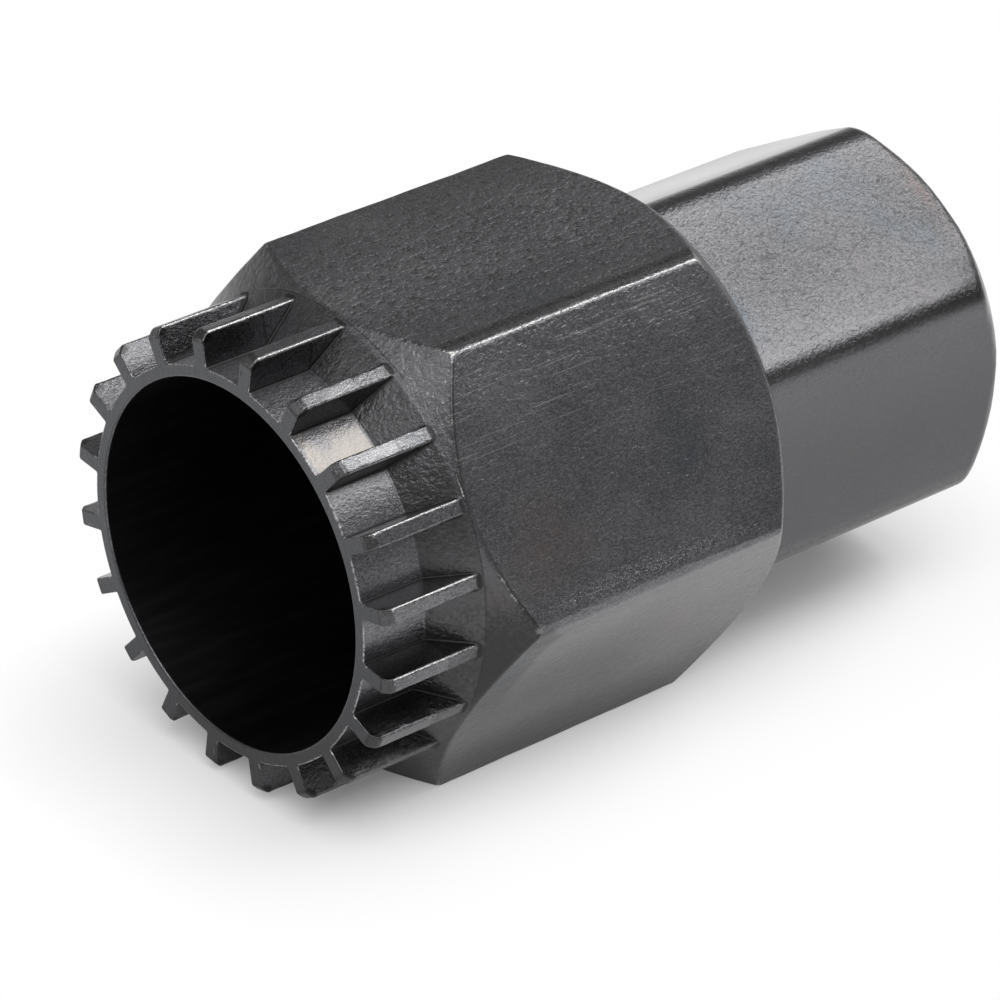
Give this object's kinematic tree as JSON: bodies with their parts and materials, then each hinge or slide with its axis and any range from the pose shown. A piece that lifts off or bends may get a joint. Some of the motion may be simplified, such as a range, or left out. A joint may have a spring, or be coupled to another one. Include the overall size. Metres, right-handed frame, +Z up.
{
  "type": "bottom bracket tool",
  "caption": "Splined socket for turning threaded bottom bracket cups, with a toothed hollow mouth, a large and a small hexagon for wrenches and a square drive hole in its end.",
  "frame": {"origin": "on the tool's axis, at the toothed front face (the mouth of the bore)", "axes": "+X along the tool's axis from the toothed mouth to the drive end, +Z up from the hexagon flat that the tool lies on"},
  "size_m": [0.0562, 0.0368, 0.032],
  "materials": {
    "blackened_steel": "black oxide, satin, worn bright along the edges"
  },
  "bodies": {
    "root": {"tool_body": "blackened_steel"}
  },
  "joints": []
}
